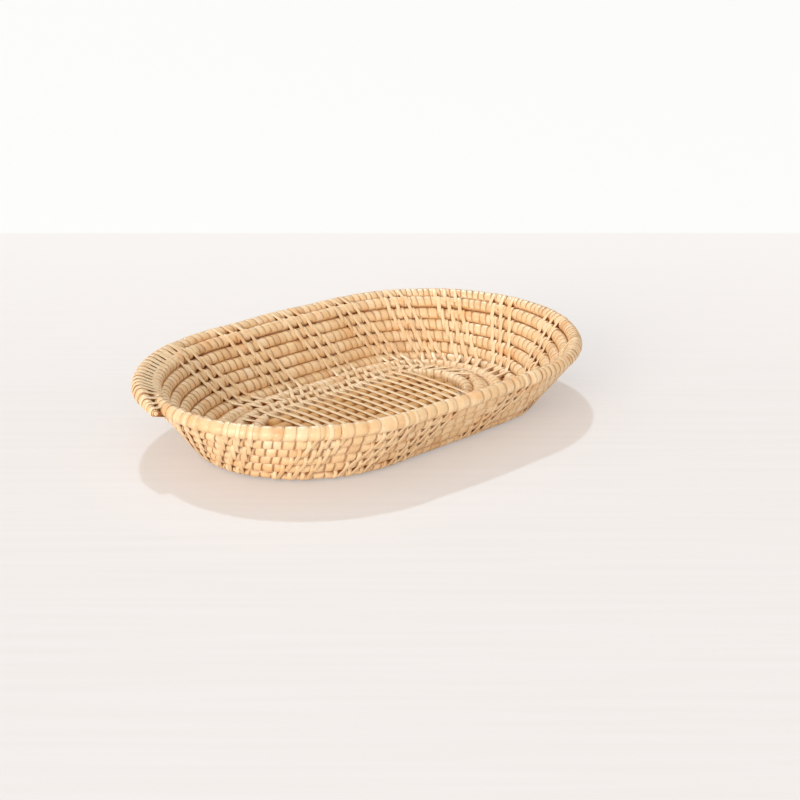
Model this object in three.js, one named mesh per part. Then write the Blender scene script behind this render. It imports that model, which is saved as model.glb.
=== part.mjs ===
// Oval rattan tray, coiled and stitched by hand, in millimetres with +Z up.
// A panel of straight rods lies in the middle of the floor, bound together by one long peel strip.
// A peel-wrapped rod starts thin between the panel and the first row's front side and winds outward
// in an oval spiral: flat floor rows first, then rows that climb as the wall, and a last row laid
// outward as the rim.
// Groups of three narrow stitches bind the rows from the panel to the rim, inside and outside, and
// the spiral's tail is lashed to the row that it lies against.
import * as THREE from "three";

// Driving dimensions of the coil
const coilDiameter = 7.5; // the rod with its peel wound round it
const coilSides = 8;
const footCorner = (3 * coilSides) / 4; // a section's first corner past straight down
const wornFlat = 0.1; // share of the diameter that is flat where a row stands on the table
const firstRowRadius = 33.0; // from the panel's middle line to the first row
const floorPitch = 11.1; // from row to row on the floor, which is laid loosely
const footPitch = 9.7; // from the floor to the first row that lifts off the table
const wallPitch = 8.0; // from row to row up the wall, which is laid tight
const rimPitch = 8.1; // from the wall's top row to the rim row
const footRise = 2.8;
const wallRise = 6.5;
const rimRise = 3.1;
const floorRows = 3;
const wallRows = 5; // between the foot row and the rim row
const straightHalf = 46.3; // half the straight run of every row
const leftStretch = 1.09; // how much longer than round the left bends are
const rightStretch = 1.04;
const sideBulge = 2.0; // how far the rim's long sides swell outward
const floorTurn = 2.5; // degrees that the floor lies turned within the rim
const floorShift = 3.4; // how far the floor lies toward the back
const spliceGap = 0.3; // between one length of coil and the next
const scarfReach = 2.0; // how far a splice is cut slanting to either side
const tailTaper = 0.86; // the tail's thickness at its end, as a share of the coil
const startTaper = 0.55; // the spiral's first tip, as a share of the room that it has there
const taperStations = 3;
const leastStep = 1.9; // from row to row in section, below which a row takes its other side's slope

// Driving dimensions of the floor panel
const panelRods = 5;
const panelRodDiameter = 8.2;
const panelRodSides = 10;
const panelPitch = 9.4;
const panelReach = 60.0; // from the middle to the ends of the middle rod
const panelRounding = 11.0; // how much shorter the outermost rods are at each end
const standOff = 0.1; // the lowest strip's height above the table

// Driving dimensions of the peel strips
const stripThickness = 0.4;
const stripGap = 0.3; // between a strip and what it lies on
const floatWidth = 2.2;
const floatCount = 17;
const turnLean = 0.4; // how far outward the binding faces where it turns over or under
const floatSpan = 112.0; // from the first float's middle to the last one's
const stitchWidth = 2.6;
const stitchSpacing = 7.6; // between the three stitches of a group
const stitchGroups = 15;
const widening = 0.5; // how much farther apart the groups stand along the front
const wideFrom = 0.2; // where on the turn that stretch starts, in quarter turns
const wideTo = 1.4;
const stitchSlant = 4.4; // how far a group steps clockwise from each row to the row inside it
const innermostStitched = 0.6; // stitches end on the first row past this row number
const outermostStitched = 0.2; // outside, they end this far past the last floor row
const lashWidth = 3.4;
const lashLoops = 13;
const lashStart = 0.32; // where the lashing starts, in quarter turns before the tail's end
const lashMargin = 0.02; // how far before the tail's end it stops, in quarter turns
const slotTop = 1.3; // how high it rises in the slot between the rows, in halves of its flat side
const tailBore = 4.6; // the open end of the tail's wrap, round the rod's end
const tailBoreDepth = 2.6;
const tailPlugLength = 1.8;

// Steps of the spiral: each turn is a front side, a right bend, a back side and a left bend
const sideSteps = 4;
const bendSteps = 14;
const lengthStations = 34; // stations in one length of coil, a little under a turn
const quartersPerTurn = 4;
const moveSteps = 10; // steps in which a place is moved along
const spreadSteps = 400; // steps in which the outermost turn is measured for the stitch groups
const startQuarter = 0.75; // the spiral starts on the front side of its first turn
const tailQuarter = 3.46; // the tail ends nearly half-way round the last left bend

// Colours
const peelColour = 0xdcc39a;
const rodColour = 0xb08a62;
const darkColour = 0x8a6242;

// Sizes worked out from the driving dimensions
const coilRadius = coilDiameter / 2;
const coilFlat = coilRadius * Math.cos(Math.PI / coilSides);
const floorHeight = coilRadius * (1 - 2 * wornFlat);
const bindingHeight = standOff + stripThickness + stripGap; // what the panel's strip passes beneath
const firstRowHeight = bindingHeight + coilFlat;
const lastRow = floorRows + wallRows + 1; // foot row, wall rows and rim, with the first row as 0
const stripLift = coilRadius + stripGap + stripThickness / 2;
const stripCorner = stripLift * Math.tan(Math.PI / coilSides);
const lashLift = coilFlat + stripGap + stripThickness / 2;
const lashCorner = lashLift * Math.tan(Math.PI / coilSides);
const slotLift = coilRadius + stripGap / 2 + stripThickness / 2; // beside a coil's edge, in a slot
const panelSide = ((panelRods - 1) / 2) * panelPitch + panelRodDiameter / 2;
const startRadius = (panelSide + firstRowRadius - coilRadius) / 2;

// The wall in section: the place of each row's middle, from the spiral's start to the rim
function rowKnots() {
  const knots = [startRadius, firstRowRadius].map((radius) => new THREE.Vector2(radius, firstRowHeight));
  const step = (pitch, rise) => {
    const { x, y } = knots[knots.length - 1];
    knots.push(new THREE.Vector2(x + Math.sqrt(pitch * pitch - rise * rise), y + rise));
  };
  step(floorPitch, floorHeight - firstRowHeight);
  for (let i = 2; i < floorRows; i += 1) step(floorPitch, 0);
  step(footPitch, footRise);
  for (let i = 0; i < wallRows; i += 1) step(wallPitch, wallRise);
  step(rimPitch, rimRise);
  return knots;
}

const section = new THREE.SplineCurve(rowKnots());

function sectionPoint(row) {
  const point = section.getPoint(THREE.MathUtils.clamp((row + 1) / (lastRow + 1), 0, 1));
  point.y = Math.max(point.y, floorHeight);
  return point;
}

// A row's place in the section, its slope midway between its neighbours and how sharply it bends there
function sectionAt(row) {
  const middle = sectionPoint(row);
  const before = middle.clone().sub(sectionPoint(row - 1));
  const after = sectionPoint(row + 1).sub(middle);
  const slopes = [before, after].map((step) => (step.length() > leastStep ? step.angle() : null));
  const [from, to] = slopes.map((slope) => slope ?? slopes.find((other) => other !== null));
  const turned = Math.atan2(Math.sin(to - from), Math.cos(to - from));
  const [slope, mitre] = [from + turned / 2, 1 / Math.cos(turned / 2)];
  return { radius: middle.x, height: middle.y, slope, mitre, below: from - slope };
}

// The row number at a place on the spiral, which moves out by one row in each right bend
function rowAt(quarters) {
  const turn = Math.floor(quarters / quartersPerTurn);
  const part = quarters - turn * quartersPerTurn;
  const bend = THREE.MathUtils.clamp(part - 1, 0, 1);
  return turn - 1 + (1 - Math.cos(Math.PI * bend)) / 2;
}

const up = new THREE.Vector3(0, 0, 1);

// How far a row lies turned and shifted within the rim: 1 at the first row, 0 at the rim
const floorShare = (row) => THREE.MathUtils.clamp(1 - row / lastRow, 0, 1);

function layInRim(vector, row) {
  return vector.applyAxisAngle(up, THREE.MathUtils.degToRad(floorTurn * floorShare(row)));
}

// A station's middle with its outward, across-the-rows and wall-face directions
function stationFrame(quarters) {
  const turn = Math.floor(quarters / quartersPerTurn);
  const part = quarters - turn * quartersPerTurn;
  const row = rowAt(quarters);
  const { radius, height, slope } = sectionAt(row);
  const side = Math.floor(part);
  const share = part - side;
  const turned = [-0.5, -0.5 + share, 0.5, 0.5 + share][side] * Math.PI;
  const outward = new THREE.Vector3(Math.cos(turned), Math.sin(turned), 0);
  const run = [2 * share - 1, 1, 1 - 2 * share, -1][side];
  const middle = outward.clone().multiplyScalar(radius);
  middle.x = run * straightHalf + middle.x * (outward.x > 0 ? rightStretch : leftStretch);
  const swell = sideBulge * Math.pow(Math.max(row, 0) / lastRow, 2);
  middle.y += Math.sign(outward.y) * swell * Math.pow(Math.cos((run * Math.PI) / 2), 2);
  layInRim(middle, row);
  middle.y += floorShift * floorShare(row);
  middle.z = height;
  layInRim(outward, row);
  const across = outward.clone().multiplyScalar(Math.cos(slope)).addScaledVector(up, Math.sin(slope));
  const face = outward.clone().multiplyScalar(-Math.sin(slope)).addScaledVector(up, Math.cos(slope));
  const along = new THREE.Vector3().crossVectors(up, outward);
  return { middle, across, face, along };
}

// Stations of the whole spiral, from its start beside the panel to the tail
function spiralStations() {
  const list = [];
  for (let turn = 0; turn <= lastRow; turn += 1) {
    for (let side = 0; side < quartersPerTurn; side += 1) {
      const steps = side % 2 === 0 ? sideSteps : bendSteps;
      for (let i = 0; i < steps; i += 1) list.push(turn * quartersPerTurn + side + i / steps);
    }
  }
  const end = lastRow * quartersPerTurn + tailQuarter;
  return [...list.filter((q) => q >= startQuarter && q < end), end];
}

const stations = spiralStations();
const frames = stations.map(stationFrame);
const spiralEnd = stations[stations.length - 1];

// A point beside the spiral on its facets: a along the rows' slope, b out of the wall's face
function beside(quarters, a, b) {
  let i = stations.findIndex((q) => q > quarters) - 1;
  if (i < 0) i = stations.length - 2;
  const share = (quarters - stations[i]) / (stations[i + 1] - stations[i]);
  const [from, to] = [frames[i], frames[i + 1]].map((frame) =>
    frame.middle.clone().addScaledVector(frame.across, a).addScaledVector(frame.face, b)
  );
  return from.lerp(to, share);
}

// A row's height off its middle that clears it and the straight strips to both its neighbours
const mitredLift = (quarters) => stripLift * sectionAt(rowAt(quarters)).mitre;

// Moves a place along the spiral by a distance, forward where it is positive
function moveAlong(quarters, distance) {
  let place = quarters;
  for (let i = 0; i < moveSteps; i += 1) {
    const onSide = Math.floor(place) % 2 === 0;
    const quarterLength = onSide ? 2 * straightHalf : Math.PI * sectionAt(rowAt(place)).radius;
    place += distance / moveSteps / quarterLength;
  }
  return place;
}

// One closed body from corner points and faces, its faces turned outward
function closedBody(points, faces) {
  let volume = 0;
  for (const [a, b, c] of faces) volume += points[a].dot(points[b].clone().cross(points[c]));
  const index = faces.flatMap(([a, b, c]) => (volume < 0 ? [a, c, b] : [a, b, c]));
  const geometry = new THREE.BufferGeometry().setFromPoints(points);
  geometry.setIndex(index);
  geometry.computeVertexNormals();
  return geometry;
}

// A solid skinned over rings of equal size, with a fan over each end
function skinRings(rings) {
  const size = rings[0].length;
  const points = rings.flat();
  const faces = [];
  for (let r = 0; r + 1 < rings.length; r += 1) {
    for (let i = 0; i < size; i += 1) {
      const [a, b] = [r * size + i, r * size + ((i + 1) % size)];
      faces.push([a, b, b + size], [a, b + size, a + size]);
    }
  }
  const last = (rings.length - 1) * size;
  for (let i = 1; i + 1 < size; i += 1) {
    faces.push([0, i + 1, i], [last, last + i, last + i + 1]);
  }
  return closedBody(points, faces);
}

// Half the angle of the side that faces the table: wide where the coil is cut flat to stand on it
const footAngle = (height) => Math.acos(Math.min(height / coilRadius, coilFlat / coilRadius));

function coilRing(frame, radius, shiftAlong) {
  const ring = [];
  for (let i = 0; i < coilSides; i += 1) {
    let angle = ((i + 0.5) * 2 * Math.PI) / coilSides;
    const atFoot = i === footCorner || i === footCorner - 1;
    if (atFoot) {
      const down = 1.5 * Math.PI;
      angle = down + Math.sign(angle - down) * footAngle(frame.middle.z);
    }
    const point = frame.middle.clone();
    point.addScaledVector(frame.across, radius * Math.cos(angle));
    point.addScaledVector(frame.face, radius * Math.sin(angle));
    point.addScaledVector(frame.along, shiftAlong(Math.cos(angle)));
    const standing = atFoot && frame.middle.z < coilFlat;
    point.z = standing ? 0 : Math.max(point.z, 0);
    ring.push(point);
  }
  return ring;
}

// The coil's thickness at a station: on the spiral's way out of the panel's side it fills the room
// between the panel and the first row, and it tapers to its tip and to its tail
function radiusAt(station) {
  const fromStart = Math.min(station / taperStations, 1);
  const fromEnd = Math.min((stations.length - 1 - station) / taperStations, 1);
  const quarters = stations[station];
  let room = coilRadius;
  if (quarters < quartersPerTurn / 2) {
    const here = sectionPoint(rowAt(quarters));
    const outside = sectionPoint(rowAt(quarters + quartersPerTurn));
    room = Math.min(room, here.distanceTo(outside) - coilRadius - spliceGap);
    room = Math.min(room, here.x - panelSide - spliceGap);
  }
  const tapers = THREE.MathUtils.lerp(startTaper, 1, fromStart) * THREE.MathUtils.lerp(tailTaper, 1, fromEnd);
  return room * tapers;
}

// One length of wrapped coil, cut slanting at each splice, open round the rod's end at the tail
function coilLength(first, last) {
  const rings = [];
  for (let s = first; s <= last; s += 1) {
    let shift = () => 0;
    if (s === first && s > 0) shift = (c) => spliceGap / 2 + scarfReach * c;
    if (s === last && last < stations.length - 1) shift = (c) => -spliceGap / 2 + scarfReach * c;
    rings.push(coilRing(frames[s], radiusAt(s), shift));
  }
  if (last === stations.length - 1) {
    const tail = frames[last];
    rings.push(coilRing(tail, tailBore / 2, () => 0));
    rings.push(coilRing(tail, tailBore / 2, () => -tailBoreDepth));
  }
  return skinRings(rings);
}

function tailPlug() {
  const tail = frames[stations.length - 1];
  const radius = tailBore / 2 - stripGap;
  const inner = -tailBoreDepth + stripGap;
  return skinRings([
    coilRing(tail, radius, () => inner),
    coilRing(tail, radius, () => inner + tailPlugLength),
  ]);
}

const panelHeight = bindingHeight + panelRodDiameter / 2;

// Lays a shape that was made about the panel's middle into the floor
function layInPanel(geometry) {
  geometry.rotateZ(THREE.MathUtils.degToRad(floorTurn));
  return geometry.translate(0, floorShift, panelHeight);
}

// A straight rod of the panel: the farther from the middle, the shorter
function panelRod(index) {
  const radius = panelRodDiameter / 2;
  const fromMiddle = index - (panelRods - 1) / 2;
  const reach = panelReach - panelRounding * (fromMiddle / ((panelRods - 1) / 2)) ** 2;
  const geometry = new THREE.CylinderGeometry(radius, radius, 2 * reach, panelRodSides, 1);
  geometry.rotateZ(Math.PI / 2).translate(0, fromMiddle * panelPitch, 0);
  return layInPanel(geometry);
}

// A flat strip along a route; flats gives the direction that the strip's face looks, at each point
function flatStrip(route, flats, width) {
  const rings = route.map((point, i) => {
    const before = route[Math.max(i - 1, 0)];
    const after = route[Math.min(i + 1, route.length - 1)];
    const along = after.clone().sub(before).normalize();
    const flat = flats[i].clone().addScaledVector(along, -flats[i].dot(along)).normalize();
    const beam = new THREE.Vector3().crossVectors(along, flat).multiplyScalar(width / 2);
    const depth = flat.multiplyScalar(stripThickness / 2);
    return [
      [1, 1],
      [-1, 1],
      [-1, -1],
      [1, -1],
    ].map(([w, t]) => point.clone().addScaledVector(beam, w).addScaledVector(depth, t));
  });
  return skinRings(rings);
}

// The least gap between loops of one winding: between points that are at least half a loop apart
function leastGap(name, route, pointsPerLoop, width) {
  let least = Infinity;
  for (let i = 0; i < route.length; i += 1) {
    for (let j = i + pointsPerLoop - 1; j < route.length; j += 1) {
      least = Math.min(least, route[i].distanceTo(route[j]) - width);
    }
  }
  console.log(`${name}: least gap to itself ${least.toFixed(2)} mm`);
}

// How far from the panel's middle line the first row's middle lies, at a place along the panel
function firstRowSide(x) {
  const past = Math.max(Math.abs(x) - straightHalf, 0);
  const reach = firstRowRadius * (x > 0 ? rightStretch : leftStretch);
  return firstRowRadius * Math.sqrt(1 - (past / reach) ** 2);
}

// The strip that binds the panel and the first row on both its sides: loop after loop, floating
// straight over the rods and passing back beneath them
function panelBinding() {
  const lowest = standOff + stripThickness / 2;
  const highest = Math.max(panelHeight + panelRodDiameter / 2, firstRowHeight + coilRadius);
  const foot = coilRadius * Math.sin(Math.acos(1 - 2 * wornFlat)) + 2 * stripGap;
  const outline = [
    [1, lashCorner, highest + stripGap + stripThickness / 2],
    [-1, lashCorner, highest + stripGap + stripThickness / 2],
    [-1, slotLift, firstRowHeight + lashCorner],
    [-1, slotLift, firstRowHeight - lashCorner],
    [-1, foot, lowest],
    [1, foot, lowest],
    [1, slotLift, firstRowHeight - lashCorner],
    [1, slotLift, firstRowHeight + lashCorner],
  ];
  const route = [];
  const flats = [];
  const pitch = floatSpan / (floatCount - 1);
  for (let i = 0; i <= (floatCount - 1) * outline.length + 1; i += 1) {
    const [side, past, z] = outline[i % outline.length];
    const x = -floatSpan / 2 + (i / outline.length) * pitch;
    route.push(new THREE.Vector3(x, side * (firstRowSide(x) + past), z - panelHeight));
    flats.push(new THREE.Vector3(0, side * (past === slotLift ? 1 : turnLean), Math.sign(z - firstRowHeight)));
  }
  leastGap("panel_binding", route, outline.length, floatWidth);
  return layInPanel(flatStrip(route, flats, floatWidth));
}

// The tail's lashing: loops round the tail and the row that it lies against
function tailLashing() {
  const [c, h] = [lashCorner, lashLift];
  const outline = [
    [0, c, stripLift],
    [0, h, c],
    [0, h, -c],
    [0, c, -h],
    [1, -c, -h],
    [1, -slotLift, -c, true],
    [1, -slotLift, slotTop * c, true],
    [1, -c, stripLift],
    [1, c, stripLift],
  ];
  const route = [];
  const flats = [];
  const from = spiralEnd - lashStart;
  const to = spiralEnd - lashMargin;
  const count = lashLoops * outline.length;
  for (let i = 0; i <= count; i += 1) {
    const [row, a, b, inSlot] = outline[i % outline.length];
    const place = THREE.MathUtils.lerp(from, to, i / count) - row * quartersPerTurn;
    const turned = inSlot ? sectionAt(rowAt(place)).below : 0;
    const [sin, cos] = [Math.sin(turned), Math.cos(turned)];
    const point = beside(place, a * cos - b * sin, a * sin + b * cos);
    route.push(point);
    flats.push(point.clone().sub(beside(place, 0, 0)));
  }
  leastGap("tail_lashing", route, outline.length, lashWidth);
  return flatStrip(route, flats, lashWidth);
}

// The route of one stitch group over the rows, from the floor up to the rim and down the outside:
// each entry is a place on the spiral with its offsets along the slope and out of the face
function stitchRoute(top) {
  const slanted = (row) => moveAlong(top - row * quartersPerTurn, -row * stitchSlant);
  const inside = [];
  let row = 1;
  for (; rowAt(slanted(row)) > innermostStitched; row += 1) {
    inside.push([slanted(row), 0, mitredLift(slanted(row))]);
  }
  const innermost = slanted(row - 1);
  inside.push([innermost, -stripCorner, stripLift]);
  inside.push([innermost, -stripLift, stripCorner]);
  inside.push([innermost, -stripLift, 0]);
  inside.reverse();
  const rim = [
    [top, 0, stripLift],
    [top, stripCorner, stripLift],
    [top, stripLift, stripCorner],
    [top, stripLift, -stripCorner],
    [top, stripCorner, -stripLift],
    [top, 0, -stripLift],
  ];
  const outside = [];
  for (row = 1; rowAt(slanted(row)) > floorRows + outermostStitched; row += 1) {
    outside.push([slanted(row), 0, -mitredLift(slanted(row))]);
  }
  outside.push([slanted(row - 1), -stripCorner, -stripLift]);
  return { places: [...inside, ...rim, ...outside], join: [inside.length, inside.length + rim.length - 1] };
}

// A group of three stitches, joined by the wraps between them where they pass over the rim
function stitchGroup(top) {
  const { places, join } = stitchRoute(top);
  const edges = [-1, 0, 1].flatMap((i) => [-1, 1].map((e) => i * stitchSpacing + (e * stitchWidth) / 2));
  const grid = places.map(([place, a, b]) =>
    edges.map((shift) =>
      [-1, 1].map((t) => {
        const share = (Math.hypot(a, b) + (t * stripThickness) / 2) / Math.hypot(a, b);
        return beside(moveAlong(place, shift), a * share, b * share);
      })
    )
  );
  return sheet(grid, (r, c) => c % 2 === 0 || (r >= join[0] && r < join[1]));
}

// A sheet with a thickness over a grid of point pairs, with only the cells that present() keeps
function sheet(grid, present) {
  const [rows, columns] = [grid.length, grid[0].length];
  const points = grid.flat(2);
  const at = (r, c, side) => (r * columns + c) * 2 + side;
  const has = (r, c) => r >= 0 && c >= 0 && r < rows - 1 && c < columns - 1 && present(r, c);
  const faces = [];
  const quad = (a, b, c, d) => faces.push([a, b, c], [a, c, d]);
  for (let r = 0; r < rows - 1; r += 1) {
    for (let c = 0; c < columns - 1; c += 1) {
      if (!has(r, c)) continue;
      quad(at(r, c, 1), at(r, c + 1, 1), at(r + 1, c + 1, 1), at(r + 1, c, 1));
      quad(at(r, c, 0), at(r + 1, c, 0), at(r + 1, c + 1, 0), at(r, c + 1, 0));
      if (!has(r - 1, c)) quad(at(r, c, 0), at(r, c + 1, 0), at(r, c + 1, 1), at(r, c, 1));
      if (!has(r + 1, c)) quad(at(r + 1, c, 1), at(r + 1, c + 1, 1), at(r + 1, c + 1, 0), at(r + 1, c, 0));
      if (!has(r, c - 1)) quad(at(r, c, 1), at(r + 1, c, 1), at(r + 1, c, 0), at(r, c, 0));
      if (!has(r, c + 1)) quad(at(r, c + 1, 0), at(r + 1, c + 1, 0), at(r + 1, c + 1, 1), at(r, c + 1, 1));
    }
  }
  return closedBody(points, faces);
}

// Assembly
const wrapped = new THREE.MeshStandardMaterial({ color: peelColour, roughness: 0.55, metalness: 0 });
const strip = new THREE.MeshStandardMaterial({ color: peelColour, roughness: 0.45, metalness: 0 });
const rod = new THREE.MeshStandardMaterial({ color: rodColour, roughness: 0.7, metalness: 0 });
const core = new THREE.MeshStandardMaterial({ color: darkColour, roughness: 0.8, metalness: 0 });

const tray = new THREE.Group();

function addPart(name, geometry, material) {
  const mesh = new THREE.Mesh(geometry, material.clone());
  mesh.name = name;
  tray.add(mesh);
}

const twoDigits = (number) => String(number).padStart(2, "0");

function addPanel() {
  for (let i = 0; i < panelRods; i += 1) addPart(`panel_rod_${i + 1}`, panelRod(i), rod);
  addPart("panel_binding", panelBinding(), strip);
}

function addCoil() {
  const end = stations.length - 1;
  const lengths = Math.round(end / lengthStations);
  for (let i = 0; i < lengths; i += 1) {
    const last = i === lengths - 1 ? end : (i + 1) * lengthStations;
    addPart(`coil_length_${twoDigits(i + 1)}`, coilLength(i * lengthStations, last), wrapped);
  }
  addPart("tail_rod_end", tailPlug(), core);
  addPart("tail_lashing", tailLashing(), strip);
}

// Places of the stitch groups: spread by length round the outermost turn, from past the tail's end
// to short of its lashing, and farther apart along the front
function groupPlaces() {
  const halfGroup = stitchSpacing + stitchWidth / 2;
  const from = moveAlong(spiralEnd - quartersPerTurn, halfGroup + lashWidth);
  const to = moveAlong(spiralEnd - lashStart, -halfGroup - lashWidth);
  const reached = [[from, 0]];
  for (let i = 1; i <= spreadSteps; i += 1) {
    const place = THREE.MathUtils.lerp(from, to, i / spreadSteps);
    const [before, far] = reached[i - 1];
    const onTurn = place % quartersPerTurn;
    const wide = onTurn > wideFrom && onTurn < wideTo ? widening : 0;
    const step = beside(place, 0, 0).distanceTo(beside(before, 0, 0));
    reached.push([place, far + step / (1 + wide)]);
  }
  const whole = reached[spreadSteps][1];
  const places = [];
  for (let i = 0; i < stitchGroups; i += 1) {
    const wanted = (i / (stitchGroups - 1)) * whole;
    places.push(reached.find(([, far]) => far >= wanted)[0]);
  }
  return places;
}

function addStitches() {
  groupPlaces().forEach((place, i) => {
    addPart(`stitch_group_${twoDigits(i + 1)}`, stitchGroup(place), strip);
  });
}

addPanel();
addCoil();
addStitches();

// The origin is under the middle of the tray, on the surface that it stands on
const bounds = new THREE.Box3().setFromObject(tray, true);
const centre = bounds.getCenter(new THREE.Vector3());
tray.position.set(-centre.x, -centre.y, -bounds.min.z);

export default tray;
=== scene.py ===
"""Oval rattan tray: the looks of its wrapped, stitched and lashed peel around the fixed frame.

The tray's lengths are in millimetres and become metres where a mesh is made; the stage's are in
metres. The spiral follows the same driving dimensions as the solids: a panel of rods, floor rows,
wall rows and a rim row. Places along it count quarter turns: front side, right bend, back side,
left bend.
"""

import math

import bpy
import numpy as np
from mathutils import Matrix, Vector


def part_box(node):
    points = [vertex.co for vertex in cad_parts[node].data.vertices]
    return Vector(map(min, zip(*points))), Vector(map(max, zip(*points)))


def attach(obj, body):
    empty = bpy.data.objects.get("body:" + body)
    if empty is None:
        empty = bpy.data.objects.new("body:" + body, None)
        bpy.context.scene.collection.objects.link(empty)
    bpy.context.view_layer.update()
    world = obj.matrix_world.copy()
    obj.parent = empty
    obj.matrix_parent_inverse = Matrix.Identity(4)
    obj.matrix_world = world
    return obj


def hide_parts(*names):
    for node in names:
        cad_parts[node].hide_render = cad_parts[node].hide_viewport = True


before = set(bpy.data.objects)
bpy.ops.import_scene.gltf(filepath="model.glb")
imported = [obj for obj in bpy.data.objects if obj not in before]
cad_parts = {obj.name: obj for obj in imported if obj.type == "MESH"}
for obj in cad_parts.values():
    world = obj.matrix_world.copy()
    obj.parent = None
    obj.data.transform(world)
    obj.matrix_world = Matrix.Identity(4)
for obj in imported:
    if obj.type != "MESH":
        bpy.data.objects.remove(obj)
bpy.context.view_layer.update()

MM = 0.001
rng = np.random.default_rng(11)

# The spiral's driving dimensions, as in the solids
FIRST_ROW_RADIUS = 33.0
FLOOR_PITCH = 11.1
FOOT_PITCH = 9.7
WALL_PITCH = 8.0
RIM_PITCH = 8.1
FOOT_RISE = 2.3
WALL_RISE = 6.5
RIM_RISE = 3.1
WALL_ROWS = 5
LAST_ROW = 9
STRAIGHT_HALF = 46.3
LEFT_STRETCH = 1.09
RIGHT_STRETCH = 1.04
SIDE_BULGE = 2.0
FLOOR_TURN = math.radians(2.5)
FLOOR_SHIFT = 3.4
FLOOR_HEIGHT = 3.5
FIRST_ROW_HEIGHT = 4.3
SPIRAL_START = 0.75
SPIRAL_END = 39.46

# The spiral's samples: how many, and how far in quarter turns they go beyond both ends
SPIRAL_SAMPLES = 24001
BEFORE_START = 0.3
PAST_END = 0.1

# The floor panel: its rods
PANEL_RODS = 5
ROD_RADIUS = 4.1
ROD_LOOK_RADIUS = 4.75
ROD_SPREAD = 0.4
ROD_PITCH = 9.4
ROD_ROUNDING = 1.6
ROD_END_SHARE = 0.55
# Each rod's sides past this cosine, where it meets the rods beside it, get painted shade
ROD_SIDE_COSINE = 0.74
ROD_SEGMENTS = 18
ROD_RINGS = 81
ROD_STREAK_SHIFT = 200

# Waves along the rods, sideways and in thickness: height, length of a radian, shift from rod to rod
ROD_SWAYS = ((0.2, 23.0, 1.7), (0.1, 9.0, 1.0))
ROD_SWELLS = ((0.02, 6.0, 2.0),)

# The room at the panel's ends
PANEL_GAP = 7.0
RIGHT_ROOM = 1.5

# The strips that float over the panel, and those that close the floor round it
FLOAT_WIDTH = 2.8
FLOAT_SHARES = (0.9, 1.15)
FLOAT_COUNT = 17
FLOAT_SPAN = 112.0
FLOAT_SPREAD = 0.5
FLOAT_LEAN = 0.6
FLOAT_SAGS = (0.1, 0.5)
FLOAT_UNDER = 0.45
FLOAT_SAMPLES = 5
FLOAT_MIDDLE_HEIGHT = 4.4
FLOAT_MIDDLE_SHARE = 0.93
FLOAT_UPRIGHT = 3
CLOSING_HEIGHT = 0.6
CLOSING_OVERLAP = 4.0
CLOSING_STEP = 1.1
CLOSING_HALF = 50.0
CLOSING_SIDE = 25.3
CLOSING_WIDTH = 6.5
CLOSING_POINTS = 21
ARC_POINTS = 19

# Loops round two neighbouring rows: the floor's close stitches and the tail's lashing
LOOP_POINTS = 11
OVER_ANGLES = (95, -85)
UNDER_ANGLES = (-95, -265)
LOOP_SHARES = (0.9, 1.1)
LOOP_LIFT = 0.12
LASHING_TURNS = 19
LASHING_START = 0.33
LASHING_END = 3.0
LASHING_SLANT = 1.0
LASHING_WIDTH = 4.0
LEAST_LOOP_RADIUS = 2.2
OUTER_LASHING_LIFT = 0.2
INNER_LASHING_LIFT = 0.15

# Where the floor's rows begin
PANEL_SIDE = (PANEL_RODS - 1) / 2 * ROD_PITCH + ROD_RADIUS
SOLID_RADIUS = 3.75
START_RADIUS = (PANEL_SIDE + FIRST_ROW_RADIUS - SOLID_RADIUS) / 2

# The wrapped coil: its section, its thin start, and how it meets what lies beside it
COIL_RADIUS = 4.05
COIL_SEGMENTS = 32
PRESSED = 0.82
START_TAPER = 0.55
TAPER_LENGTH = 16.0
SPARE = 0.1
TOUCH = 0.04
COIL_LOWEST = 0.04
BESIDE_PANEL_REACH = 6.4

# The turns of its wrap: crown, seam, lean along the coil, lift, tilt and pitch, with their spreads
WRAP_CROWN = 0.42
CROWN_SHARES = (0.75, 1.25)
SEAM_DEPTH = 0.62
SEAM_PITCH = 4.6
WRAP_LEAN = 0.8
LEAN_SPREAD = 0.3
LEAN_ANGLE = 0.35
LEAN_FADE = 2.0
LIFT_SPREAD = 0.06
WRAP_TILT = 0.08
TILT_SPREAD = 0.08
PITCH_SPREAD = 0.13
PITCH_SHARES = (0.72, 1.35)
LAST_PITCHES = 1.5

# The tail: how thin it ends, how long it tapers, how far it dips and tucks in, and from where the
# row inside it is free
TAIL_TAPER = 0.45
TAIL_LENGTH = 26.0
TAIL_DROP = 3.0
TAIL_TUCK = 1.8
TAIL_FREE = 0.12
TAIL_FREE_FADE = 0.04

# The rod's end in the tail: how far each ring lies past the wrap, its radius, and its peel's place
ROD_END_STEPS = ((-2.0, 1.3, 0.0), (0.25, 1.3, 2.2), (0.5, 0.9, 2.6))
ROD_END_TINT = 0.2

# The wrap by part of a turn, each at its middle: front side, right bend, back side, left bend.
# Seams set how strong their painted shade is; holes set how deep the coil is pressed in beside
# stitches, which also deepens the painted shade there
PARTS = (0.5, 1.5, 2.5, 3.5)
WALL_PITCHES = (8.2, 4.8, 5.9, 5.4)
WALL_SEAMS = (0.35, 0.5, 0.45, 1.0)
WALL_HOLES = (0.4, 0.2, 0.6, 0.5)
FLOOR_PITCHES = (4.1, 5.4, 4.1, 5.0)
FLOOR_SEAM = 0.45
FLOOR_HOLE = 1.1
RIM_HOLE = 0.5
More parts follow.
